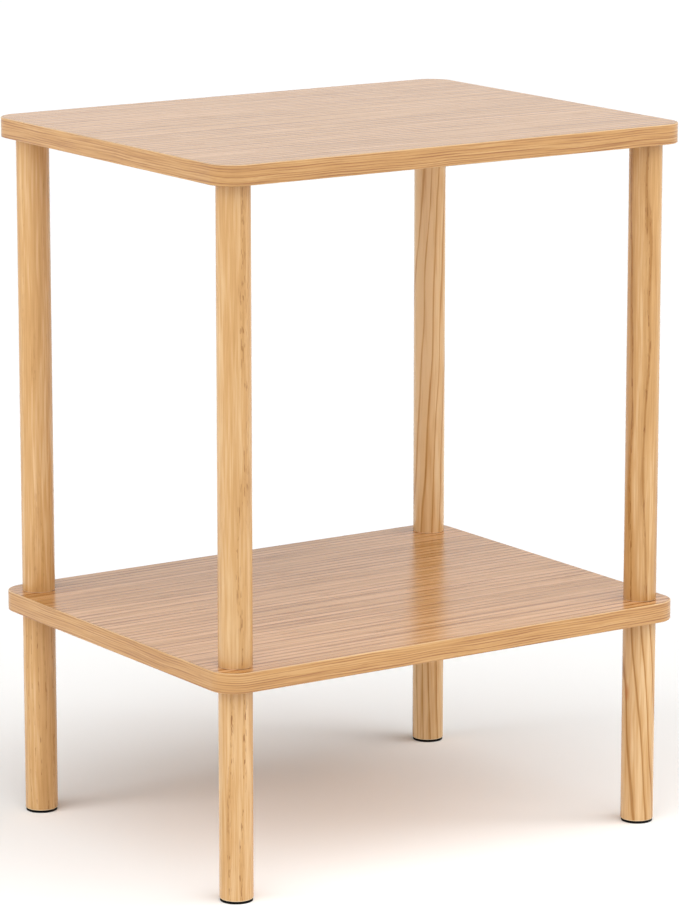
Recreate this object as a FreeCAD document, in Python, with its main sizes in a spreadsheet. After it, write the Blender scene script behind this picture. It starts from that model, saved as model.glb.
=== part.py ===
import FreeCAD, Part
import math
import os
import Sketcher

# End table with a shelf: two equal boards held apart by eight round dowel legs.
# Each board is a core between two skins, with a band wrapped round its edge.
# The origin is on the floor under the middle of the table, +X runs along the long side, +Z is up.

# Driving sizes in millimetres: name, value, what it measures.
size_rows = [
    ("board_length", "410", "long side of the top and of the shelf"),
    ("board_width", "325", "short side of the top and of the shelf"),
    ("board_thickness", "15", "finished board, both skins included"),
    ("corner_radius", "20", "upright corners of both boards"),
    ("skin_thickness", "0.8", "skin on each face of a board"),
    ("band_thickness", "1", "band round a board's edge"),
    ("band_arris", "0.7", "rounding of the band's outer edges"),
    ("glue_line", "0.05", "between the band and what it wraps"),
    ("leg_diameter", "25", "dowel of the upper and the lower legs"),
    ("leg_inset", "22.5", "leg axis from both edges of a board"),
    ("leg_end_bevel", "0.8", "eased rim at both ends of a leg"),
    ("upper_leg_length", "350", "clear height between shelf and top"),
    ("lower_leg_length", "158", "from the pad to the shelf"),
    ("pad_thickness", "2", "disc between a lower leg and the floor"),
    ("pad_setback", "0.5", "pad's rim inside the leg's"),
    ("pad_rim_bevel", "0.4", "bevel on the pad's lower rim"),
    ("bolt_diameter", "6", "hanger bolt, over its thread"),
    ("bolt_wood_end", "30", "part of a hanger bolt sunk in its leg"),
    ("bolt_point", "5", "tapered tip of the wood end"),
    ("bolt_point_diameter", "2", "end of the tapered tip"),
    ("bolt_lead", "1", "bevel on the machine end"),
    ("bolt_end_gap", "0.5", "machine end short of the insert's far end"),
    ("thread_fit", "0.05", "all round between mating threads"),
    ("through_fit", "0.4", "all round between a bolt and the shelf"),
    ("insert_diameter", "10", "insert nut, over its outer thread"),
    ("insert_length", "10", "insert nut, end to end"),
    ("insert_bevel", "0.6", "bevel on the insert's inner end"),
    ("bore_spare", "1.5", "depth of a blind bore past what fills it"),
]

doc = FreeCAD.newDocument("end_table")
sheet = doc.addObject("Spreadsheet::Sheet", "sizes")
for row, (alias, value, meaning) in enumerate(size_rows, start=1):
    sheet.set(f"A{row}", meaning)
    sheet.set(f"B{row}", value)
    sheet.setAlias(f"B{row}", alias)
doc.recompute()

# Levels above the floor and places of the leg axes, as expressions of the driving sizes.
shelf_base = "sizes.pad_thickness + sizes.lower_leg_length"
shelf_face = f"{shelf_base} + sizes.board_thickness"
top_base = f"{shelf_face} + sizes.upper_leg_length"
leg_x = "(sizes.board_length / 2 - sizes.leg_inset)"
leg_y = "(sizes.board_width / 2 - sizes.leg_inset)"

# Front is -Y and left is -X.
leg_sides = {
    "front_left": (-1, -1),
    "front_right": (1, -1),
    "rear_left": (-1, 1),
    "rear_right": (1, 1),
}

up = FreeCAD.Vector(0, 0, 1)
nodes = []


def number(owner, expression):
    return float(owner.evalExpression(expression))


def new_body(label):
    body = doc.addObject("PartDesign::Body", label)
    body.Label = label
    return body


def new_sketch(body, name, level="0"):
    # A level sketch in the body's own frame, raised to the given height.
    sketch = body.newObject("Sketcher::SketchObject", name)
    floor = next(plane for plane in body.Origin.OriginFeatures if plane.Role == "XY_Plane")
    sketch.AttachmentSupport = [(floor, "")]
    sketch.MapMode = "FlatFace"
    sketch.setExpression("AttachmentOffset.Base.z", level)
    return sketch


def dimension(sketch, name, kind, places, expression):
    value = number(sketch, expression)
    index = sketch.addConstraint(Sketcher.Constraint(kind, *places, value))
    sketch.renameConstraint(index, name)
    sketch.setExpression(f"Constraints.{name}", expression)


def rounded_outline(sketch, setback):
    # A board's outline, drawn the given distance inside its outer edge, middle on the origin.
    length = f"sizes.board_length - 2 * ({setback})"
    width = f"sizes.board_width - 2 * ({setback})"
    radius = f"sizes.corner_radius - ({setback})"
    corner = number(sketch, radius)
    reach_x = number(sketch, length) / 2 - corner
    reach_y = number(sketch, width) / 2 - corner
    quarter = math.pi / 2
    arcs = []
    for turn, (side_x, side_y) in enumerate([(1, -1), (1, 1), (-1, 1), (-1, -1)]):
        centre = FreeCAD.Vector(side_x * reach_x, side_y * reach_y, 0)
        circle = Part.Circle(centre, up, corner)
        arcs.append(Part.ArcOfCircle(circle, (turn - 1) * quarter, turn * quarter))
    outline = []
    for turn, arc in enumerate(arcs):
        outline.append(Part.LineSegment(arcs[turn - 1].EndPoint, arc.StartPoint))
        outline.append(arc)
    sketch.addGeometry(outline)
    for index in range(len(outline)):
        following = (index + 1) % len(outline)
        sketch.addConstraint(Sketcher.Constraint("Tangent", index, 2, following, 1))
    for line, lie in ((0, "Horizontal"), (2, "Vertical"), (4, "Horizontal"), (6, "Vertical")):
        sketch.addConstraint(Sketcher.Constraint(lie, line))
    for arc in (3, 5, 7):
        sketch.addConstraint(Sketcher.Constraint("Equal", 1, arc))
    sketch.addConstraint(Sketcher.Constraint("Symmetric", 0, 1, 4, 1, -1, 1))
    dimension(sketch, "outline_length", "DistanceX", (6, 1, 2, 1), length)
    dimension(sketch, "outline_width", "DistanceY", (0, 1, 4, 1), width)
    dimension(sketch, "outline_radius", "Radius", (1,), radius)


def centred_circle(sketch, diameter):
    circle = sketch.addGeometry(Part.Circle(FreeCAD.Vector(), up, number(sketch, diameter) / 2))
    sketch.addConstraint(Sketcher.Constraint("Coincident", circle, 3, -1, 1))
    dimension(sketch, "diameter", "Diameter", (circle,), diameter)


def leg_circles(sketch, diameter):
    # One circle on each leg axis, its centre measured from the middle of the board.
    for corner, (side_x, side_y) in leg_sides.items():
        centre = FreeCAD.Vector(side_x * number(sketch, leg_x), side_y * number(sketch, leg_y), 0)
        circle = sketch.addGeometry(Part.Circle(centre, up, number(sketch, diameter) / 2))
        middle, own = (-1, 1), (circle, 3)
        across = middle + own if side_x > 0 else own + middle
        along = middle + own if side_y > 0 else own + middle
        dimension(sketch, f"{corner}_x", "DistanceX", across, leg_x)
        dimension(sketch, f"{corner}_y", "DistanceY", along, leg_y)
        dimension(sketch, f"{corner}_diameter", "Diameter", (circle,), diameter)


def pad(body, sketch, length):
    feature = body.newObject("PartDesign::Pad", f"{body.Label}_pad")
    feature.Profile = sketch
    feature.setExpression("Length", length)
    doc.recompute()
    return feature


def pocket(body, sketch, depth, upward):
    # A cut of the given depth from the sketch, which has to take material away.
    before = body.Shape.Volume
    feature = body.newObject("PartDesign::Pocket", f"{sketch.Label}_pocket")
    feature.Profile = sketch
    feature.Reversed = upward
    feature.setExpression("Length", depth)
    doc.recompute()
    if not body.Shape.Volume < before:
        raise RuntimeError(f"{feature.Label} cuts nothing")
    return feature


def ease_rims(body, base, kind, size, lower_only=False):
    # Eases the level edges at both ends of an upright feature, or at its lower end only.
    middle = base.Shape.BoundBox.Center.z
    rims = []
    for index, edge in enumerate(base.Shape.Edges, start=1):
        heights = [vertex.Z for vertex in edge.Vertexes]
        upright = min(heights) < middle < max(heights)
        if not upright and (max(heights) < middle or not lower_only):
            rims.append(f"Edge{index}")
    feature = body.newObject(f"PartDesign::{kind}", f"{body.Label}_rims")
    feature.Base = (base, rims)
    feature.setExpression("Radius" if kind == "Fillet" else "Size", size)
    doc.recompute()
    return feature


def raise_to(piece, level):
    piece.setExpression("Placement.Base.z", level)
    nodes.append(piece)


def stand_on_axis(piece, sides, level):
    side_x, side_y = sides
    piece.setExpression("Placement.Base.x", f"{side_x} * {leg_x}")
    piece.setExpression("Placement.Base.y", f"{side_y} * {leg_y}")
    piece.setExpression("Placement.Base.z", level)


def board_layer(label, thickness, level, hole_diameter, hole_depth):
    # A core or a skin: a sheet inside the edge band, drilled from below on the leg axes.
    body = new_body(label)
    outline = new_sketch(body, f"{label}_outline")
    rounded_outline(outline, "sizes.band_thickness + sizes.glue_line")
    pad(body, outline, thickness)
    if hole_diameter:
        holes = new_sketch(body, f"{label}_holes")
        leg_circles(holes, hole_diameter)
        pocket(body, holes, hole_depth, upward=True)
    raise_to(body, level)


def edge_band(label, level):
    # A closed strip round the edge, as tall as the finished board, with rounded outer edges.
    body = new_body(label)
    outer = new_sketch(body, f"{label}_outer")
    rounded_outline(outer, "0")
    strip = pad(body, outer, "sizes.board_thickness")
    ease_rims(body, strip, "Fillet", "sizes.band_arris")
    inner = new_sketch(body, f"{label}_inner")
    rounded_outline(inner, "sizes.band_thickness")
    pocket(body, inner, "sizes.board_thickness", upward=True)
    raise_to(body, level)


def leg(label, length, sides, level, insert_below):
    # A dowel with eased rims, bored at the top for a bolt and, if wanted, below for an insert.
    body = new_body(label)
    section = new_sketch(body, f"{label}_section")
    centred_circle(section, "sizes.leg_diameter")
    dowel = pad(body, section, length)
    ease_rims(body, dowel, "Chamfer", "sizes.leg_end_bevel")
    bolt_bore = new_sketch(body, f"{label}_bolt_bore", length)
    centred_circle(bolt_bore, "sizes.bolt_diameter + 2 * sizes.thread_fit")
    pocket(body, bolt_bore, "sizes.bolt_wood_end + sizes.bore_spare", upward=False)
    if insert_below:
        insert_bore = new_sketch(body, f"{label}_insert_bore")
        centred_circle(insert_bore, "sizes.insert_diameter + 2 * sizes.thread_fit")
        pocket(body, insert_bore, "sizes.insert_length + sizes.bore_spare", upward=True)
    stand_on_axis(body, sides, level)
    nodes.append(body)


def floor_pad(label, sides):
    body = new_body(label)
    section = new_sketch(body, f"{label}_section")
    centred_circle(section, "sizes.leg_diameter - 2 * sizes.pad_setback")
    disc = pad(body, section, "sizes.pad_thickness")
    ease_rims(body, disc, "Chamfer", "sizes.pad_rim_bevel", lower_only=True)
    stand_on_axis(body, sides, "0")
    nodes.append(body)


def turned(kind, name, level, **sizes):
    # A cylinder or cone on the Z axis, standing at the given level.
    piece = doc.addObject(f"Part::{kind}", name)
    for size, expression in sizes.items():
        piece.setExpression(size, expression)
    piece.setExpression("Placement.Base.z", level)
    return piece


def four_alike(label, first):
    # The same fastener on all four leg axes, mirrored from the front left one.
    across = doc.addObject("Part::Mirroring", f"{label}_front_right")
    across.Source = first
    across.Normal = FreeCAD.Vector(1, 0, 0)
    copies = [first, across]
    for piece, corner in ((first, "rear_left"), (across, "rear_right")):
        behind = doc.addObject("Part::Mirroring", f"{label}_{corner}")
        behind.Source = piece
        behind.Normal = FreeCAD.Vector(0, 1, 0)
        copies.append(behind)
    group = doc.addObject("Part::Compound", label)
    group.Label = label
    group.Links = copies
    nodes.append(group)


def hanger_bolts(label, level, machine_end):
    # A stud with a tapered wood end below the given level and a bevelled machine end above it.
    radius = "sizes.bolt_diameter / 2"
    shank_base = "sizes.bolt_point - sizes.bolt_wood_end"
    lead_base = f"{machine_end} - sizes.bolt_lead"
    shank = turned("Cylinder", f"{label}_shank", shank_base, Radius=radius,
                   Height=f"{lead_base} - ({shank_base})")
    point = turned("Cone", f"{label}_point", "-sizes.bolt_wood_end", Height="sizes.bolt_point",
                   Radius1="sizes.bolt_point_diameter / 2", Radius2=radius)
    lead = turned("Cone", f"{label}_lead", lead_base, Height="sizes.bolt_lead",
                  Radius1=radius, Radius2=f"{radius} - sizes.bolt_lead / 2")
    bolt = doc.addObject("Part::MultiFuse", f"{label}_front_left")
    bolt.Shapes = [shank, point, lead]
    stand_on_axis(bolt, leg_sides["front_left"], level)
    four_alike(label, bolt)


def insert_nuts(label, level):
    # A threaded sleeve with a bevelled inner end and a clear bore.
    radius = "sizes.insert_diameter / 2"
    straight = "sizes.insert_length - sizes.insert_bevel"
    sleeve = turned("Cylinder", f"{label}_sleeve", "0", Radius=radius, Height=straight)
    nose = turned("Cone", f"{label}_nose", straight, Height="sizes.insert_bevel",
                  Radius1=radius, Radius2=f"{radius} - sizes.insert_bevel")
    blank = doc.addObject("Part::Fuse", f"{label}_blank")
    blank.Base = sleeve
    blank.Tool = nose
    bore = turned("Cylinder", f"{label}_bore", "0", Height="sizes.insert_length",
                  Radius="sizes.bolt_diameter / 2 + sizes.thread_fit")
    nut = doc.addObject("Part::Cut", f"{label}_front_left")
    nut.Base = blank
    nut.Tool = bore
    stand_on_axis(nut, leg_sides["front_left"], level)
    four_alike(label, nut)


# The two boards: the top is drilled from below for its inserts, the shelf right through for the bolts.
core_thickness = "sizes.board_thickness - 2 * sizes.skin_thickness"
insert_hole = "sizes.insert_diameter + 2 * sizes.thread_fit"
insert_depth = "sizes.insert_length + sizes.bore_spare - sizes.skin_thickness"
bolt_hole = "sizes.bolt_diameter + 2 * sizes.through_fit"
skin = "sizes.skin_thickness"

board_layer("top_core", core_thickness, f"{top_base} + {skin}", insert_hole, insert_depth)
board_layer("top_face_skin", skin, f"{top_base} + {skin} + {core_thickness}", None, None)
board_layer("top_underside_skin", skin, top_base, insert_hole, skin)
edge_band("top_edge_band", top_base)

board_layer("shelf_core", core_thickness, f"{shelf_base} + {skin}", bolt_hole, core_thickness)
board_layer("shelf_face_skin", skin, f"{shelf_base} + {skin} + {core_thickness}", bolt_hole, skin)
board_layer("shelf_underside_skin", skin, shelf_base, bolt_hole, skin)
edge_band("shelf_edge_band", shelf_base)

# Legs and pads, corner by corner.
for corner, sides in leg_sides.items():
    leg(f"upper_leg_{corner}", "sizes.upper_leg_length", sides, shelf_face, insert_below=True)
    leg(f"lower_leg_{corner}", "sizes.lower_leg_length", sides, "sizes.pad_thickness", insert_below=False)
    floor_pad(f"floor_pad_{corner}", sides)

# Fasteners: the upper legs screw into the top, the lower ones through the shelf into the upper ones.
grip = "sizes.insert_length - sizes.bolt_end_gap"
insert_nuts("top_insert_nuts", top_base)
hanger_bolts("top_hanger_bolts", top_base, f"({grip})")
insert_nuts("leg_insert_nuts", shelf_face)
hanger_bolts("shelf_hanger_bolts", shelf_base, f"({grip} + sizes.board_thickness)")

doc.recompute()

for item in doc.Objects:
    if "Invalid" in item.State or "Error" in item.State:
        raise RuntimeError(f"{item.Label} failed: {item.State}")
for node in nodes:
    if node.Shape.isNull() or not node.Shape.isValid():
        raise RuntimeError(f"{node.Label} has no sound shape")

os.makedirs("parts", exist_ok=True)
for node in nodes:
    node.Shape.exportStep(f"parts/{node.Label}.step")
    print(node.Label, "solids:", len(node.Shape.Solids), "volume:", round(node.Shape.Volume))
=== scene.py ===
import math

import bmesh
import bpy
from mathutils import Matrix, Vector


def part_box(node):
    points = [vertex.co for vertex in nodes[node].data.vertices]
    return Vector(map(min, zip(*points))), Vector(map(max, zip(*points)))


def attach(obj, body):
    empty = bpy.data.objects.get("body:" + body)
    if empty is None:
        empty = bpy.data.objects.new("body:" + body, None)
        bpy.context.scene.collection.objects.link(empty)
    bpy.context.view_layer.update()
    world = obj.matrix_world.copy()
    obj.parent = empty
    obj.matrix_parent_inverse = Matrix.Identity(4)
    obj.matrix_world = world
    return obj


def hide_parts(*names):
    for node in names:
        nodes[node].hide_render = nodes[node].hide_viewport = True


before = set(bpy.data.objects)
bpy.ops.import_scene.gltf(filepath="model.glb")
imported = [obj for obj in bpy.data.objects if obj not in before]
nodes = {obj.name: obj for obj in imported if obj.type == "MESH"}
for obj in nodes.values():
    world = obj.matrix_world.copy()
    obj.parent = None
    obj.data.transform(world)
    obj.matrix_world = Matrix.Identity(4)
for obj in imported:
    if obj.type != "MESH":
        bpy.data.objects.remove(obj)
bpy.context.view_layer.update()        # two boards, eight legs, four pads and the hidden fasteners
corners = ("front_left", "front_right", "rear_left", "rear_right")
millimetre = 0.001
smoothAngle = math.radians(35)        # edges sharper than this stay crisp
bpy.context.scene.view_settings.view_transform = "Standard"
print("frame loaded:", len(nodes), "nodes")


# Small tools

def linear(hexColour):
    # sRGB hex to the linear colour that shaders use
    channels = [int(hexColour[i:i + 2], 16) / 255 for i in (1, 3, 5)]
    return tuple(c / 12.92 if c <= 0.04045 else ((c + 0.055) / 1.055) ** 2.4 for c in channels) + (1.0,)


def per(*sizes):
    # pattern repeats per metre along X, Y and Z, from real sizes in millimetres
    return tuple(1 / (size * millimetre) for size in sizes)


def addNode(tree, kind, settings=None, inputs=None, stops=()):
    # a node with its settings, its values or links, and a ramp's colour stops
    node = tree.nodes.new(kind)
    for name, value in (settings or {}).items():
        setattr(node, name, value)
    for socket, value in (inputs or {}).items():
        if isinstance(value, bpy.types.NodeSocket):
            tree.links.new(value, node.inputs[socket])
        else:
            node.inputs[socket].default_value = value
    for index, (place, colour) in enumerate(stops):
        ramp = node.color_ramp.elements
        stop = ramp[index] if index < 2 else ramp.new(place)
        stop.position = place
        stop.color = colour
    return node


def newMaterial(name):
    material = bpy.data.materials.new(name)
    material.use_nodes = True
    material.node_tree.nodes.clear()
    return material, material.node_tree


def finishMaterial(tree, shader):
    addNode(tree, "ShaderNodeOutputMaterial", inputs={"Surface": shader.outputs["BSDF"]})


def grainNoise(tree, place, sizes, detail):
    # noise stretched along the grain
    mapped = addNode(tree, "ShaderNodeMapping", inputs={"Vector": place, "Scale": per(*sizes)})
    return addNode(tree, "ShaderNodeTexNoise", inputs={
        "Vector": mapped.outputs[0], "Scale": 1.0, "Detail": detail, "Roughness": 0.55}).outputs["Fac"]


def grainTone(tree, place, layers):
    # layers of grain added up round the middle tone: 0 is palest and 1 darkest
    tone = 0.5 - sum(layer[-1] for layer in layers) / 2
    for *sizes, detail, weight in layers:
        noise = grainNoise(tree, place, sizes, detail)
        added = addNode(tree, "ShaderNodeMath", {"operation": "MULTIPLY_ADD"}, {0: noise, 1: weight, 2: tone})
        tone = added.outputs[0]
    return tone


def wander(tree, place, sizes, reach):
    # the place pushed aside by slow noise, so that the grain isn't ruled straight
    mapped = addNode(tree, "ShaderNodeMapping", inputs={"Vector": place, "Scale": per(*sizes)})
    noise = addNode(tree, "ShaderNodeTexNoise", inputs={
        "Vector": mapped.outputs[0], "Scale": 1.0, "Detail": 1.0, "Roughness": 0.5})
    return addNode(tree, "ShaderNodeVectorMath", {"operation": "MULTIPLY_ADD"}, {
        0: noise.outputs["Color"], 1: reach, 2: place}).outputs[0]


def marks(tree, place, sizes, low, high, most, least=0.0):
    # sparse short marks where the noise peaks: they start at low, are full at high, and are as strong
    # as most there and as least elsewhere
    noise = grainNoise(tree, place, sizes, 1.0)
    return addNode(tree, "ShaderNodeMapRange", inputs={
        "Value": noise, "From Min": low, "From Max": high, "To Min": least, "To Max": most}).outputs[0]


def ringLines(tree, place, across, style):
    # growth rings counted across the wood: thin dark lines, sharp on one side and soft on the other
    swayed = addNode(tree, "ShaderNodeMath", {"operation": "MULTIPLY_ADD"}, {
        0: grainNoise(tree, place, style["ringSway"], 1.0), 1: style["ringReach"], 2: across})
    year = addNode(tree, "ShaderNodeMath", {"operation": "FRACT"}, {0: swayed.outputs[0]})
    lineEnd, lineStart, lineHalf = style["lateWood"]
    lines = addNode(tree, "ShaderNodeValToRGB", inputs={"Fac": year.outputs[0]}, stops=[
        (0.0, linear("#FFFFFF")), (lineEnd, linear("#000000")), (lineStart, linear("#000000")),
        (lineHalf, linear("#8A8A8A")), (0.94, linear("#FFFFFF"))])
    return lines.outputs["Color"]


def pick(piece, kind, wanted):
    # selects edges or faces in edit mode, by their place
    bpy.ops.object.mode_set(mode="EDIT")
    bpy.ops.mesh.select_mode(type=kind)
    bpy.ops.mesh.select_all(action="DESELECT")
    shape = bmesh.from_edit_mesh(piece.data)
    for part in list(shape.edges if kind == "EDGE" else shape.faces):
        part.select_set(wanted(part))
    bmesh.update_edit_mesh(piece.data)


def isUpright(edge):
    leastRise = 0.1 * millimetre
    return abs(edge.verts[0].co.z - edge.verts[1].co.z) > leastRise


def applyModifier(piece, name, kind, settings):
    bpy.ops.object.select_all(action="DESELECT")
    piece.select_set(True)
    bpy.context.view_layer.objects.active = piece
    modifier = piece.modifiers.new(name, kind)
    for setting, value in settings.items():
        setattr(modifier, setting, value)
    bpy.ops.object.modifier_apply(modifier=name)


def drill(piece, x, y, low, high, radius, sides=48):
    # bores an upright round hole from one height to another
    bpy.ops.object.select_all(action="DESELECT")
    bpy.ops.mesh.primitive_cylinder_add(
        vertices=sides, radius=radius, depth=high - low, location=(x, y, (low + high) / 2))
    bit = bpy.context.object
    applyModifier(piece, "bore", "BOOLEAN", {"operation": "DIFFERENCE", "solver": "EXACT", "object": bit})
    bpy.data.objects.remove(bit)


def middle(node):
    low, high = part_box(node)
    return (low + high) / 2


def copyTo(piece, node, otherNode):
    # a copy with a mesh of its own, moved from one node's place to another's
    bpy.ops.object.select_all(action="DESELECT")
    piece.select_set(True)
    bpy.context.view_layer.objects.active = piece
    bpy.ops.object.duplicate(linked=False)
    bpy.ops.transform.translate(value=middle(otherNode) - middle(node))
    bpy.ops.object.transform_apply(location=True, rotation=True, scale=True)
    return bpy.context.object


def settle(piece, name, node, finish):
    # a named and shaded piece stands for its CAD node
    piece.name = name
    piece.data.name = name
    piece.data.materials.clear()
    piece.data.materials.append(finish)
    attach(piece, "root")
    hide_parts(node)


# Materials

# Pattern sizes in every finish are millimetres along X, Y and Z. lateWood says where in the year a
# ring line ends, where the next one starts and where it is half dark, ringReach how far the rings
# sway, in ring spacings, and each pair of relief is a strength and a depth. The Marks are low, high,
# most and least of marks(), and the tones are where the noise has each of the colours.

# Oak-print paper pressed under melamine: fine straight grain along the board, satin,
# so that a low view sees the pale surroundings in it
oakPrint = {
    "pale": "#D5A475",
    "warm": "#C08F57",
    "line": "#965F26",
    "pore": "#805226",
    "tones": (0.4, 0.56, 0.8),        # pale, warm and line
    # length, width, depth, detail and weight: coarser than real oak, so that they show
    "grain": [(240, 3.4, 3.4, 0.0, 0.42), (120, 2.0, 2.0, 0.0, 0.42)],
    "ringSpacing": 7.6,
    "ringSway": (600, 60, 60),
    "ringReach": 1.0,
    "lateWood": (0.15, 0.54, 0.81),
    "ringRuns": (130, 4.5, 4.5),
    "runMarks": (0.35, 0.65, 0.42, 0.12),
    "pores": (30, 0.9, 0.9),
    "poreMarks": (0.6, 0.7, 0.5),
    "relief": (0.12, 0.05 * millimetre),
    "sway": (420, 90, 90),
    "swayReach": (0, 5 * millimetre, 0),
    "roughness": (0.23, 0.34),        # on the lacquer, and in the pores
    "ior": 1.47,
}


def makeOakPrint():
    material, tree = newMaterial("oakPrintMelamine")
    place = addNode(tree, "ShaderNodeTexCoord").outputs["Object"]
    swayed = wander(tree, place, oakPrint["sway"], oakPrint["swayReach"])
    across = addNode(tree, "ShaderNodeVectorMath", {"operation": "DOT_PRODUCT"}, {
        0: swayed, 1: (0, per(oakPrint["ringSpacing"])[0], 0)})
    rings = ringLines(tree, swayed, across.outputs["Value"], oakPrint)
    runs = marks(tree, swayed, oakPrint["ringRuns"], *oakPrint["runMarks"])
    tone = addNode(tree, "ShaderNodeMath", {"operation": "MULTIPLY_ADD"}, {
        0: rings, 1: runs, 2: grainTone(tree, swayed, oakPrint["grain"])})
    colour = addNode(tree, "ShaderNodeValToRGB", inputs={"Fac": tone.outputs[0]}, stops=[
        (at, linear(oakPrint[name])) for at, name in zip(oakPrint["tones"], ("pale", "warm", "line"))])
    pores = marks(tree, swayed, oakPrint["pores"], *oakPrint["poreMarks"])
    pored = addNode(tree, "ShaderNodeMix", {"data_type": "RGBA"}, {
        0: pores, 6: colour.outputs["Color"], 7: linear(oakPrint["pore"])})
    relief = addNode(tree, "ShaderNodeBump", {"invert": True}, {
        "Strength": oakPrint["relief"][0], "Distance": oakPrint["relief"][1], "Height": pores})
    gloss = addNode(tree, "ShaderNodeMapRange", inputs={
        "Value": pores, "From Min": 0.0, "From Max": oakPrint["poreMarks"][2],
        "To Min": oakPrint["roughness"][0], "To Max": oakPrint["roughness"][1]})
    shader = addNode(tree, "ShaderNodeBsdfPrincipled", inputs={
        "Base Color": pored.outputs[2], "Roughness": gloss.outputs[0], "IOR": oakPrint["ior"],
        "Normal": relief.outputs[0]})
    finishMaterial(tree, shader)
    return material


# Wood-print edge band: the same paper slit into a strip, its grain running round the board
bandPrint = {
    "pale": "#CAA16D",
    "warm": "#B98B56",
    "line": "#91603A",
    "rim": "#E2C294",        # painted highlight: the trimmed arris painted paler where it faces upward, as where it catches the light
    # how much of the painted highlight shows, by how far the surface faces upward
    "rimStops": [(0.3, "#000000"), (0.7, "#E5E5E5"), (0.9, "#E5E5E5"), (0.97, "#404040")],
    "rimMost": 0.8,        # the painted highlight shows so much where the edge is roughest
    "tones": (0.3, 0.54, 0.8),
    "grain": [(110, 110, 1.6, 0.0, 0.3), (40, 40, 0.8, 0.0, 0.35)],
    "ringSpacing": 1.8,
    "ringSway": (140, 140, 6),
    "ringReach": 1.4,
    "lateWood": (0.12, 0.56, 0.82),
    "ringRuns": (80, 80, 1.6),
    "runMarks": (0.36, 0.62, 0.42, 0.1),
    "dashes": (10, 10, 0.7),
    "dashMarks": (0.6, 0.7, 0.25),
    "relief": (0.12, 0.04 * millimetre),
    "sway": (60, 60, 40),
    "swayReach": (0, 0, 3 * millimetre),
    "roughness": (0.27, 0.4),        # on the print, and on the trimmed edge
    "ior": 1.48,
}


def makeBandPrint():
    material, tree = newMaterial("woodPrintBand")
    place = addNode(tree, "ShaderNodeTexCoord").outputs["Object"]
    swayed = wander(tree, place, bandPrint["sway"], bandPrint["swayReach"])
    across = addNode(tree, "ShaderNodeVectorMath", {"operation": "DOT_PRODUCT"}, {
        0: swayed, 1: (0, 0, per(bandPrint["ringSpacing"])[0])})
    rings = ringLines(tree, swayed, across.outputs["Value"], bandPrint)
    runs = marks(tree, swayed, bandPrint["ringRuns"], *bandPrint["runMarks"])
    tone = addNode(tree, "ShaderNodeMath", {"operation": "MULTIPLY_ADD"}, {
        0: rings, 1: runs, 2: grainTone(tree, swayed, bandPrint["grain"])})
    colour = addNode(tree, "ShaderNodeValToRGB", inputs={"Fac": tone.outputs[0]}, stops=[
        (at, linear(bandPrint[name])) for at, name in zip(bandPrint["tones"], ("pale", "warm", "line"))])
    dashes = marks(tree, swayed, bandPrint["dashes"], *bandPrint["dashMarks"])
    dashed = addNode(tree, "ShaderNodeMix", {"data_type": "RGBA"}, {
        0: dashes, 6: colour.outputs["Color"], 7: linear(bandPrint["line"])})
    outward = addNode(tree, "ShaderNodeNewGeometry").outputs["Normal"]
    facing = addNode(tree, "ShaderNodeSeparateXYZ", inputs={0: outward})
    # painted highlight: the band is painted paler where its top arris faces upward
    rim = addNode(tree, "ShaderNodeValToRGB", inputs={"Fac": facing.outputs["Z"]}, stops=[
        (at, linear(grey)) for at, grey in bandPrint["rimStops"]])
    rimmed = addNode(tree, "ShaderNodeMix", {"data_type": "RGBA"}, {
        0: rim.outputs["Color"], 6: dashed.outputs[2], 7: linear(bandPrint["rim"])})
    gloss = addNode(tree, "ShaderNodeMapRange", inputs={
        "Value": rim.outputs["Color"], "From Min": 0.0, "From Max": bandPrint["rimMost"],
        "To Min": bandPrint["roughness"][0], "To Max": bandPrint["roughness"][1]})
    relief = addNode(tree, "ShaderNodeBump", {"invert": True}, {
        "Strength": bandPrint["relief"][0], "Distance": bandPrint["relief"][1], "Height": dashes})
    shader = addNode(tree, "ShaderNodeBsdfPrincipled", inputs={
        "Base Color": rimmed.outputs[2], "Roughness": gloss.outputs[0], "IOR": bandPrint["ior"],
        "Normal": relief.outputs[0]})
    finishMaterial(tree, shader)
    return material


# Pine dowel under clear satin varnish: soft upright streaks, growth rings round the heart of the tree
# that show as thin lines and arches, short resin flecks along the rings, and a knot in one leg
pine = {
    "pale": "#D5B285",
    "warm": "#C29762",
    "dark": "#A3743D",
    "fleck": "#703C12",
    "knot": "#A9652F",
    "rim": "#F3DDBA",        # painted highlight: the eased bottom end painted paler, as where it catches the light from the floor
    "rimFacing": (-0.5, -0.15, 0.8),        # where the painted highlight is full and where it ends, by the normal's Z, and its share
    "tones": (0.25, 0.52, 0.95),
    "grain": [(9, 9, 210, 0.0, 0.35), (3.2, 3.2, 90, 1.0, 0.4), (1.5, 1.5, 36, 1.0, 0.5)],
    "sway": (50, 50, 90),
    "swayReach": (3 * millimetre, 3 * millimetre, 0),
    "ringSway": (18, 18, 120),
    "ringReach": 1.2,
    "lateWood": (0.1, 0.64, 0.86),
    "flecks": (0.9, 0.9, 8),        # coarser than real resin canals, so that they show
    "fleckMarks": (0.59, 0.63, 1.0),
    "fleckRows": (0.9, 0.06),        # strength on the ring lines, and elsewhere
    "knotSize": (3.0, 3.0, 9),
    "knotEdge": (0.5, 1.1, 0.7),        # its full and its faint radius, in knot sizes, and its strength
    "relief": (0.15, 0.04 * millimetre),
    "glossTones": (0.3, 0.9),
    "roughness": (0.2, 0.27),        # on the pale early wood, and on the dark late wood
    "ior": 1.45,
}


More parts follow.
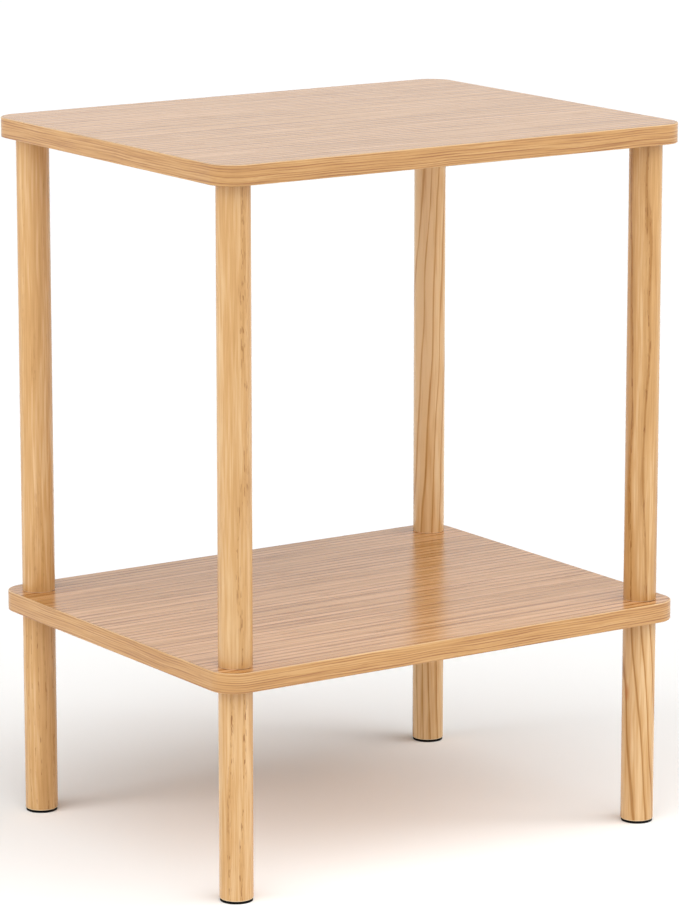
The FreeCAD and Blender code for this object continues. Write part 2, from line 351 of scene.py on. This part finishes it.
def makePine():
    material, tree = newMaterial("varnishedPine")
    place = addNode(tree, "ShaderNodeTexCoord").outputs["Object"]
    cut = {name: addNode(tree, "ShaderNodeAttribute", {"attribute_name": name}) for name in (
        "heart", "trunk", "knot", "figure", "flecks", "toneAndPaintedLight")}
    fromHeart = addNode(tree, "ShaderNodeVectorMath", {"operation": "SUBTRACT"}, {
        0: place, 1: cut["heart"].outputs["Vector"]})
    aside = addNode(tree, "ShaderNodeVectorMath", {"operation": "CROSS_PRODUCT"}, {
        0: fromHeart.outputs[0], 1: cut["trunk"].outputs["Vector"]})
    years = addNode(tree, "ShaderNodeVectorMath", {"operation": "LENGTH"}, {0: aside.outputs[0]})
    rings = ringLines(tree, place, years.outputs["Value"], pine)
    swayed = wander(tree, place, pine["sway"], pine["swayReach"])
    # each leg's tone shift is partly its own wood and partly painted light
    streaks = addNode(tree, "ShaderNodeMath", {"operation": "ADD"}, {
        0: grainTone(tree, swayed, pine["grain"]), 1: cut["toneAndPaintedLight"].outputs["Fac"]})
    tone = addNode(tree, "ShaderNodeMath", {"operation": "MULTIPLY_ADD"}, {
        0: rings, 1: cut["figure"].outputs["Fac"], 2: streaks.outputs[0]})
    colour = addNode(tree, "ShaderNodeValToRGB", inputs={"Fac": tone.outputs[0]}, stops=[
        (at, linear(pine[name])) for at, name in zip(pine["tones"], ("pale", "warm", "dark"))])
    shortMarks = marks(tree, swayed, pine["flecks"], *pine["fleckMarks"])
    onLines, elsewhere = pine["fleckRows"]
    rows = addNode(tree, "ShaderNodeMath", {"operation": "MULTIPLY_ADD"}, {
        0: rings, 1: onLines, 2: elsewhere})
    inRows = addNode(tree, "ShaderNodeMath", {"operation": "MULTIPLY"}, {0: shortMarks, 1: rows.outputs[0]})
    flecks = addNode(tree, "ShaderNodeMath", {"operation": "MULTIPLY"}, {
        0: inRows.outputs[0], 1: cut["flecks"].outputs["Fac"]})
    flecked = addNode(tree, "ShaderNodeMix", {"data_type": "RGBA"}, {
        0: flecks.outputs[0], 6: colour.outputs["Color"], 7: linear(pine["fleck"])})
    fromKnot = addNode(tree, "ShaderNodeVectorMath", {"operation": "SUBTRACT"}, {
        0: swayed, 1: cut["knot"].outputs["Vector"]})
    knotScaled = addNode(tree, "ShaderNodeVectorMath", {"operation": "MULTIPLY"}, {
        0: fromKnot.outputs[0], 1: per(*pine["knotSize"])})
    knotReach = addNode(tree, "ShaderNodeVectorMath", {"operation": "LENGTH"}, {0: knotScaled.outputs[0]})
    full, faint, strength = pine["knotEdge"]
    knot = addNode(tree, "ShaderNodeMapRange", inputs={
        "Value": knotReach.outputs["Value"], "From Min": full, "From Max": faint,
        "To Min": strength, "To Max": 0.0})
    knotted = addNode(tree, "ShaderNodeMix", {"data_type": "RGBA"}, {
        0: knot.outputs[0], 6: flecked.outputs[2], 7: linear(pine["knot"])})
    outward = addNode(tree, "ShaderNodeNewGeometry").outputs["Normal"]
    facing = addNode(tree, "ShaderNodeSeparateXYZ", inputs={0: outward})
    # painted highlight on the downward-facing eased rim
    down, level, most = pine["rimFacing"]
    rim = addNode(tree, "ShaderNodeMapRange", inputs={
        "Value": facing.outputs["Z"], "From Min": down, "From Max": level, "To Min": most, "To Max": 0.0})
    rimmed = addNode(tree, "ShaderNodeMix", {"data_type": "RGBA"}, {
        0: rim.outputs[0], 6: knotted.outputs[2], 7: linear(pine["rim"])})
    gloss = addNode(tree, "ShaderNodeMapRange", inputs={
        "Value": tone.outputs[0], "From Min": pine["glossTones"][0], "From Max": pine["glossTones"][1],
        "To Min": pine["roughness"][0], "To Max": pine["roughness"][1]})
    relief = addNode(tree, "ShaderNodeBump", {"invert": True}, {
        "Strength": pine["relief"][0], "Distance": pine["relief"][1], "Height": tone.outputs[0]})
    shader = addNode(tree, "ShaderNodeBsdfPrincipled", inputs={
        "Base Color": rimmed.outputs[2], "Roughness": gloss.outputs[0], "IOR": pine["ior"],
        "Normal": relief.outputs[0]})
    finishMaterial(tree, shader)
    return material


# Black foam rubber: dull, with a fine open grain, duller still in its open cells
foamRubber = {
    "cell": "#060505",
    "skin": "#0F0D0C",
    "cellSize": 0.5,        # coarser than real foam, so that it shows up close
    "tones": (0.4, 0.7),
    "relief": (0.4, 0.1 * millimetre),
    "roughness": (0.95, 0.8),        # in the cells, and on the skin between them
    "specular": 0.2,
}


def makeFoamRubber():
    material, tree = newMaterial("blackFoamRubber")
    place = addNode(tree, "ShaderNodeTexCoord").outputs["Object"]
    grain = grainNoise(tree, place, [foamRubber["cellSize"]] * 3, 2.0)
    colour = addNode(tree, "ShaderNodeValToRGB", inputs={"Fac": grain}, stops=[
        (foamRubber["tones"][0], linear(foamRubber["cell"])),
        (foamRubber["tones"][1], linear(foamRubber["skin"]))])
    gloss = addNode(tree, "ShaderNodeMapRange", inputs={
        "Value": grain, "From Min": foamRubber["tones"][0], "From Max": foamRubber["tones"][1],
        "To Min": foamRubber["roughness"][0], "To Max": foamRubber["roughness"][1]})
    relief = addNode(tree, "ShaderNodeBump", inputs={
        "Strength": foamRubber["relief"][0], "Distance": foamRubber["relief"][1], "Height": grain})
    shader = addNode(tree, "ShaderNodeBsdfPrincipled", inputs={
        "Base Color": colour.outputs["Color"], "Roughness": gloss.outputs[0],
        "Specular IOR Level": foamRubber["specular"], "Normal": relief.outputs[0]})
    finishMaterial(tree, shader)
    return material


# Particle board: pressed chips with rough gaps between them, seen only if a board is cut open
particleBoard = {
    "chip": "#C9A878",
    "gap": "#9C7748",
    "chipSize": (6.0, 6.0, 1.5),        # pressed flat
    "tones": (0.1, 0.8),
    "relief": (0.5, 0.3 * millimetre),
    "roughness": (0.75, 0.95),        # on a chip, and in the gaps
}


def makeParticleBoard():
    material, tree = newMaterial("particleBoard")
    place = addNode(tree, "ShaderNodeTexCoord").outputs["Object"]
    pressed = addNode(tree, "ShaderNodeMapping", inputs={
        "Vector": place, "Scale": per(*particleBoard["chipSize"])})
    chips = addNode(tree, "ShaderNodeTexVoronoi", inputs={"Vector": pressed.outputs[0], "Scale": 1.0})
    toGap = chips.outputs["Distance"]
    colour = addNode(tree, "ShaderNodeValToRGB", inputs={"Fac": toGap}, stops=[
        (particleBoard["tones"][0], linear(particleBoard["chip"])),
        (particleBoard["tones"][1], linear(particleBoard["gap"]))])
    gloss = addNode(tree, "ShaderNodeMapRange", inputs={
        "Value": toGap, "From Min": particleBoard["tones"][0], "From Max": particleBoard["tones"][1],
        "To Min": particleBoard["roughness"][0], "To Max": particleBoard["roughness"][1]})
    relief = addNode(tree, "ShaderNodeBump", {"invert": True}, {
        "Strength": particleBoard["relief"][0], "Distance": particleBoard["relief"][1], "Height": toGap})
    shader = addNode(tree, "ShaderNodeBsdfPrincipled", inputs={
        "Base Color": colour.outputs["Color"], "Roughness": gloss.outputs[0],
        "Normal": relief.outputs[0]})
    finishMaterial(tree, shader)
    return material


# Zinc plated steel: bright grey with a faint cloudy bloom, which is duller than the bare plating
zincSteel = {
    "bright": "#C9CBCD",
    "bloom": "#A9ABAE",
    "cloudSize": 3.0,
    "tones": (0.35, 0.65),
    "relief": (0.2, 0.02 * millimetre),
    "roughness": (0.4, 0.25),        # on the bloom, and on the bright plating
}


def makeZincSteel():
    material, tree = newMaterial("zincPlatedSteel")
    place = addNode(tree, "ShaderNodeTexCoord").outputs["Object"]
    cloud = grainNoise(tree, place, [zincSteel["cloudSize"]] * 3, 2.0)
    colour = addNode(tree, "ShaderNodeValToRGB", inputs={"Fac": cloud}, stops=[
        (zincSteel["tones"][0], linear(zincSteel["bloom"])),
        (zincSteel["tones"][1], linear(zincSteel["bright"]))])
    gloss = addNode(tree, "ShaderNodeMapRange", inputs={
        "Value": cloud, "From Min": zincSteel["tones"][0], "From Max": zincSteel["tones"][1],
        "To Min": zincSteel["roughness"][0], "To Max": zincSteel["roughness"][1]})
    relief = addNode(tree, "ShaderNodeBump", inputs={
        "Strength": zincSteel["relief"][0], "Distance": zincSteel["relief"][1], "Height": cloud})
    shader = addNode(tree, "ShaderNodeBsdfPrincipled", inputs={
        "Base Color": colour.outputs["Color"], "Metallic": 1.0, "Roughness": gloss.outputs[0],
        "Normal": relief.outputs[0]})
    finishMaterial(tree, shader)
    return material


oakFinish = makeOakPrint()
bandFinish = makeBandPrint()
pineFinish = makePine()
rubberFinish = makeFoamRubber()
coreFinish = makeParticleBoard()
steelFinish = makeZincSteel()
print("materials made")


# Boards: a skin on each face and a band wrapped round the edge

board = {
    "cornerRadius": 20 * millimetre,
    "bandThickness": 1 * millimetre,
    "arris": 0.7 * millimetre,
    "cornerSteps": 16,
    "arrisSteps": 4,
    "boltHole": 6.8 * millimetre,        # through the shelf
    "insertHole": 10.1 * millimetre,     # in the underside of the top
}


def addSlab(node, radius):
    # a block as large as the node, its four upright edges rounded
    low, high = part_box(node)
    bpy.ops.object.select_all(action="DESELECT")
    bpy.ops.mesh.primitive_cube_add(size=1, location=(low + high) / 2, scale=high - low)
    bpy.ops.object.transform_apply(location=True, rotation=True, scale=True)
    slab = bpy.context.object
    pick(slab, "EDGE", isUpright)
    bpy.ops.mesh.bevel(offset=radius, segments=board["cornerSteps"], profile=0.5, affect="EDGES")
    return slab


def addSkin(node, hole):
    # a sheet inside the band, drilled on the leg axes where bolts or inserts pass
    skin = addSlab(node, board["cornerRadius"] - board["bandThickness"])
    bpy.ops.object.mode_set(mode="OBJECT")
    low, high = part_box(node)
    for corner in (corners if hole else ()):
        axis = middle("upper_leg_" + corner)
        drill(skin, axis.x, axis.y, low.z - millimetre, high.z + millimetre, hole / 2)
    bpy.ops.object.shade_smooth_by_angle(angle=smoothAngle)
    return skin


def addBand(node):
    band = addSlab(node, board["cornerRadius"])
    pick(band, "EDGE", lambda edge: not isUpright(edge))
    bpy.ops.mesh.bevel(offset=board["arris"], segments=board["arrisSteps"], profile=0.5, affect="EDGES")
    isBroadFace = lambda face: abs(face.normal.z) > 0.99 and len(face.verts) > 4
    pick(band, "FACE", isBroadFace)
    bpy.ops.mesh.inset(thickness=board["bandThickness"] - board["arris"], depth=0)
    bpy.ops.mesh.delete(type="ONLY_FACE")
    pick(band, "EDGE", lambda edge: edge.is_boundary)
    bpy.ops.mesh.bridge_edge_loops()
    bpy.ops.mesh.select_all(action="SELECT")
    bpy.ops.mesh.normals_make_consistent(inside=False)
    bpy.ops.object.mode_set(mode="OBJECT")
    bpy.ops.object.shade_smooth_by_angle(angle=smoothAngle)
    return band


settle(addSkin("top_face_skin", None), "topFace", "top_face_skin", oakFinish)
topUnderside = addSkin("top_underside_skin", board["insertHole"])
settle(topUnderside, "topUnderside", "top_underside_skin", oakFinish)
shelfFace = addSkin("shelf_face_skin", board["boltHole"])
shelfUnderside = copyTo(shelfFace, "shelf_face_skin", "shelf_underside_skin")
settle(shelfFace, "shelfFace", "shelf_face_skin", oakFinish)
settle(shelfUnderside, "shelfUnderside", "shelf_underside_skin", oakFinish)
topBand = addBand("top_edge_band")
shelfBand = copyTo(topBand, "top_edge_band", "shelf_edge_band")
settle(topBand, "topBand", "top_edge_band", bandFinish)
settle(shelfBand, "shelfBand", "shelf_edge_band", bandFinish)
print("boards modelled")


# Legs and pads: turned rounds with eased rims

# bores as end, diameter and depth: a hanger bolt sits in the top end, an insert nut in the bottom one
boltBore = ("top", 6.1 * millimetre, 31.5 * millimetre)
insertBore = ("bottom", 10.1 * millimetre, 11.5 * millimetre)
upperLeg = {
    "sides": 96, "bevel": 0.8 * millimetre, "bevelSteps": 3, "rimAngle": 60,
    "bores": [boltBore, insertBore],
}
lowerLeg = {"sides": 96, "bevel": 0.8 * millimetre, "bevelSteps": 3, "rimAngle": 60, "bores": [boltBore]}
pad = {"sides": 72, "bevel": 0.4 * millimetre, "bevelSteps": 2, "rimAngle": 60, "bores": []}
# where in the tree each leg was cut: the direction of the heart in degrees and its distance in
# millimetres, the lean of the trunk in degrees, the ring spacing in millimetres, the strength of
# the rings, the share of flecks, and how much darker than the others the leg is painted, which is
# partly its own wood tone and partly painted light, as on the shaded rear right upper leg, made paler
legCuts = {
    "upper_leg_front_left": (-34, 40, 0.3, 25.0, 0.18, 0.5, -0.04),
    "upper_leg_front_right": (146, 50, 0.3, 9.9, 0.34, 0.6, 0.05),
    "upper_leg_rear_left": (236, 60, 0.3, 5.0, 0.08, 0.2, 0.0),
    # painted light: this leg is painted paler to make up for the shade it stands in
    "upper_leg_rear_right": (-34, 45, 2.5, 7.0, 0.42, 0.1, -0.22),
    "lower_leg_front_left": (-34, 40, 0.5, 10.4, 0.14, 0.8, -0.05),
    "lower_leg_front_right": (-34, 35, -4.0, 7.0, 0.6, 0.15, -0.12),
    "lower_leg_rear_left": (146, 40, 0.3, 4.5, 0.08, 0.55, 0.05),
    "lower_leg_rear_right": (146, 40, 1.5, 5.0, 0.46, 0.2, -0.18),
}
knotPlaces = {"lower_leg_front_right": (183, 103)}        # direction in degrees, height in millimetres


def addRound(node, style):
    low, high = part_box(node)
    bpy.ops.object.select_all(action="DESELECT")
    bpy.ops.mesh.primitive_cylinder_add(
        vertices=style["sides"], radius=(high.x - low.x) / 2, depth=high.z - low.z, location=(low + high) / 2)
    bpy.ops.object.transform_apply(location=True, rotation=True, scale=True)
    piece = bpy.context.object
    applyModifier(piece, "easedRims", "BEVEL", {
        "width": style["bevel"], "segments": style["bevelSteps"], "limit_method": "ANGLE",
        "angle_limit": math.radians(style["rimAngle"])})
    axis = middle(node)
    for end, diameter, depth in style["bores"]:
        bottom = high.z - depth if end == "top" else low.z - millimetre
        top = high.z + millimetre if end == "top" else low.z + depth
        drill(piece, axis.x, axis.y, bottom, top, diameter / 2)
    bpy.ops.object.shade_smooth_by_angle(angle=smoothAngle)
    return piece


def cutLeg(piece, node, turn, away, lean, spacing, figure, flecks, toneAndPaintedLight):
    # tells the pine finish where in the tree this leg was cut
    count = len(piece.data.vertices)
    axis = middle(node)
    toHeart = Vector((math.cos(math.radians(turn)), math.sin(math.radians(turn)), 0))
    upward = Vector((0, 0, math.cos(math.radians(lean))))
    trunk = (toHeart * math.sin(math.radians(lean)) + upward) / (spacing * millimetre)
    knot = Vector((0, 0, -1))        # out of the leg's reach, unless it has one
    if node in knotPlaces:
        knotTurn, height = knotPlaces[node]
        radius = (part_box(node)[1].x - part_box(node)[0].x) / 2
        outward = Vector((math.cos(math.radians(knotTurn)), math.sin(math.radians(knotTurn)), 0))
        knot = Vector((axis.x, axis.y, height * millimetre)) + outward * radius
    for name, value in {"heart": axis + toHeart * away * millimetre, "trunk": trunk, "knot": knot}.items():
        attribute = piece.data.attributes.new(name, "FLOAT_VECTOR", "POINT")
        attribute.data.foreach_set("vector", tuple(value) * count)
    for name, value in {"figure": figure, "flecks": flecks, "toneAndPaintedLight": toneAndPaintedLight}.items():
        attribute = piece.data.attributes.new(name, "FLOAT", "POINT")
        attribute.data.foreach_set("value", [value] * count)


def addSet(kind, label, style, finish):
    # one at the first corner, copied to the others
    firstNode = kind + corners[0]
    rounds = {firstNode: addRound(firstNode, style)}
    for corner in corners[1:]:
        rounds[kind + corner] = copyTo(rounds[firstNode], firstNode, kind + corner)
    for node, piece in rounds.items():
        side = node.removeprefix(kind).title().replace("_", "")
        settle(piece, label + side, node, finish)
        if node in legCuts:
            cutLeg(piece, node, *legCuts[node])


addSet("upper_leg_", "upperLeg", upperLeg, pineFinish)
addSet("lower_leg_", "lowerLeg", lowerLeg, pineFinish)
addSet("floor_pad_", "floorPad", pad, rubberFinish)
print("legs and pads modelled")


# Hidden pieces keep their CAD shapes

hiddenFinishes = {
    "top_core": coreFinish, "shelf_core": coreFinish,
    "top_insert_nuts": steelFinish, "top_hanger_bolts": steelFinish,
    "leg_insert_nuts": steelFinish, "shelf_hanger_bolts": steelFinish,
}
for node, finish in hiddenFinishes.items():
    nodes[node].data.materials.clear()
    nodes[node].data.materials.append(finish)
print("hidden pieces finished")


# Stage: pale floor, white surroundings and tall soft lights

stage = {
    "floorSize": 60.0,
    "floorColour": "#F9F9F8",
    "floorRoughness": 0.9,
    # the white room low down and the light from high up: strength behind the table, strength in front,
    # and which way the front is
    "horizon": (1.0, 1.2, (-0.6, -0.8, 0.0)),
    "overhead": (0.0, 2.2, (-0.17, -0.985, 0.0)),
    "frontBlend": 0.3,        # how softly front turns to behind
    "heightBlend": (0.35, 0.6),        # the low light ends and the high light begins
}


def makeFloor():
    bpy.ops.object.select_all(action="DESELECT")
    bpy.ops.mesh.primitive_plane_add(size=stage["floorSize"], location=(0, 0, 0))
    floor = bpy.context.object
    floor.name = "studioFloor"
    material, tree = newMaterial("paleFloor")
    shader = addNode(tree, "ShaderNodeBsdfPrincipled", inputs={
        "Base Color": linear(stage["floorColour"]), "Roughness": stage["floorRoughness"],
        "Specular IOR Level": 0.0})
    finishMaterial(tree, shader)
    floor.data.materials.append(material)


def makeSurround():
    world = bpy.data.worlds.new("whiteStudio")
    world.use_nodes = True
    tree = world.node_tree
    tree.nodes.clear()
    direction = addNode(tree, "ShaderNodeTexCoord").outputs["Generated"]
    levels = []
    for behind, front, frontward in (stage["overhead"], stage["horizon"]):
        facing = addNode(tree, "ShaderNodeVectorMath", {"operation": "DOT_PRODUCT"}, {
            0: direction, 1: frontward})
        levels.append(addNode(tree, "ShaderNodeMapRange", {"interpolation_type": "SMOOTHSTEP"}, {
            "Value": facing.outputs["Value"],
            "From Min": -stage["frontBlend"], "From Max": stage["frontBlend"],
            "To Min": behind, "To Max": front}).outputs[0])
    height = addNode(tree, "ShaderNodeSeparateXYZ", inputs={0: direction})
    low = addNode(tree, "ShaderNodeMapRange", {"interpolation_type": "SMOOTHSTEP"}, {
        "Value": height.outputs["Z"], "From Min": stage["heightBlend"][0],
        "From Max": stage["heightBlend"][1], "To Min": 1.0, "To Max": 0.0})
    strength = addNode(tree, "ShaderNodeMix", inputs={
        0: low.outputs[0], 2: levels[0], 3: levels[1]})
    light = addNode(tree, "ShaderNodeBackground", inputs={
        "Color": linear("#FFFFFF"), "Strength": strength.outputs[0]})
    addNode(tree, "ShaderNodeOutputWorld", inputs={"Surface": light.outputs[0]})
    bpy.context.scene.world = world


# tall strip lights at either side of the table: place, what they face, width, height, power in watts
softboxes = {
    "leftStrip": ((-1.05, 0.25, 0.6), (0, 0, 0.3), 0.4, 1.2, 2.4),
    "rightStrip": ((0.97, -0.7, 0.6), (0, 0, 0.3), 0.26, 1.2, 1.7),
}


def aim(thing, place, target):
    thing.location = place
    thing.rotation_euler = (Vector(target) - Vector(place)).to_track_quat("-Z", "Y").to_euler()


def addSoftbox(name, place, target, width, height, power):
    lamp = bpy.data.lights.new(name, "AREA")
    lamp.shape = "RECTANGLE"
    lamp.size = width
    lamp.size_y = height
    lamp.energy = power
    box = bpy.data.objects.new(name, lamp)
    box.visible_camera = False        # never in the picture from another side,
    box.visible_glossy = False        # nor as a glare on the boards
    bpy.context.scene.collection.objects.link(box)
    aim(box, place, target)


makeFloor()
makeSurround()
for name, setting in softboxes.items():
    addSoftbox(name, *setting)
print("stage set")


# Camera at the photograph's angle: a long lens, looking a little down

viewpoint = {
    "place": (-1.8647, -2.7779, 0.9896),
    "tiltDown": 11.945,
    "turn": 33.892,
    "focal": 177.4,
    "sensor": 36.0,
    "farthest": 200,
}
lens = bpy.data.cameras.new("studioCamera")
lens.sensor_width = viewpoint["sensor"]
lens.lens = viewpoint["focal"]
lens.clip_end = viewpoint["farthest"]
camera = bpy.data.objects.new("studioCamera", lens)
camera.location = viewpoint["place"]
camera.rotation_euler = (math.radians(90 - viewpoint["tiltDown"]), 0, math.radians(-viewpoint["turn"]))
bpy.context.scene.collection.objects.link(camera)
bpy.context.scene.camera = camera
print("camera placed")
